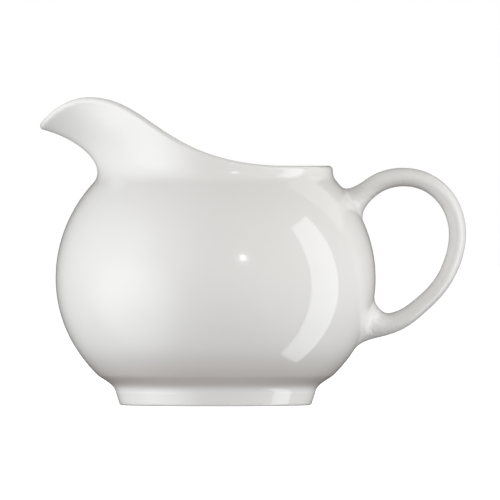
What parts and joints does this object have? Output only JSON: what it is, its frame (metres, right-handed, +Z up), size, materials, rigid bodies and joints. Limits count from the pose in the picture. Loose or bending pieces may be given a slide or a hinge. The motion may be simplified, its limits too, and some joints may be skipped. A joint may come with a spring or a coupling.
{
  "type": "cream jug",
  "caption": "Round-bellied white porcelain cream jug with a low foot ring, a beaked pouring lip and a loop handle.",
  "frame": {"origin": "centre of the foot ring's bearing face, on the table plane", "axes": "+Z up, +X towards the handle, -X towards the pouring lip, Y across the jug"},
  "size_m": [0.1171, 0.088, 0.0846],
  "materials": {
    "glazed_porcelain": "clear gloss glaze over white body"
  },
  "bodies": {
    "root": {"bowl": "glazed_porcelain", "foot_ring": "glazed_porcelain", "pouring_lip": "glazed_porcelain", "handle": "glazed_porcelain", "upper_handle_lute": "glazed_porcelain", "lower_handle_lute": "glazed_porcelain"}
  },
  "joints": []
}
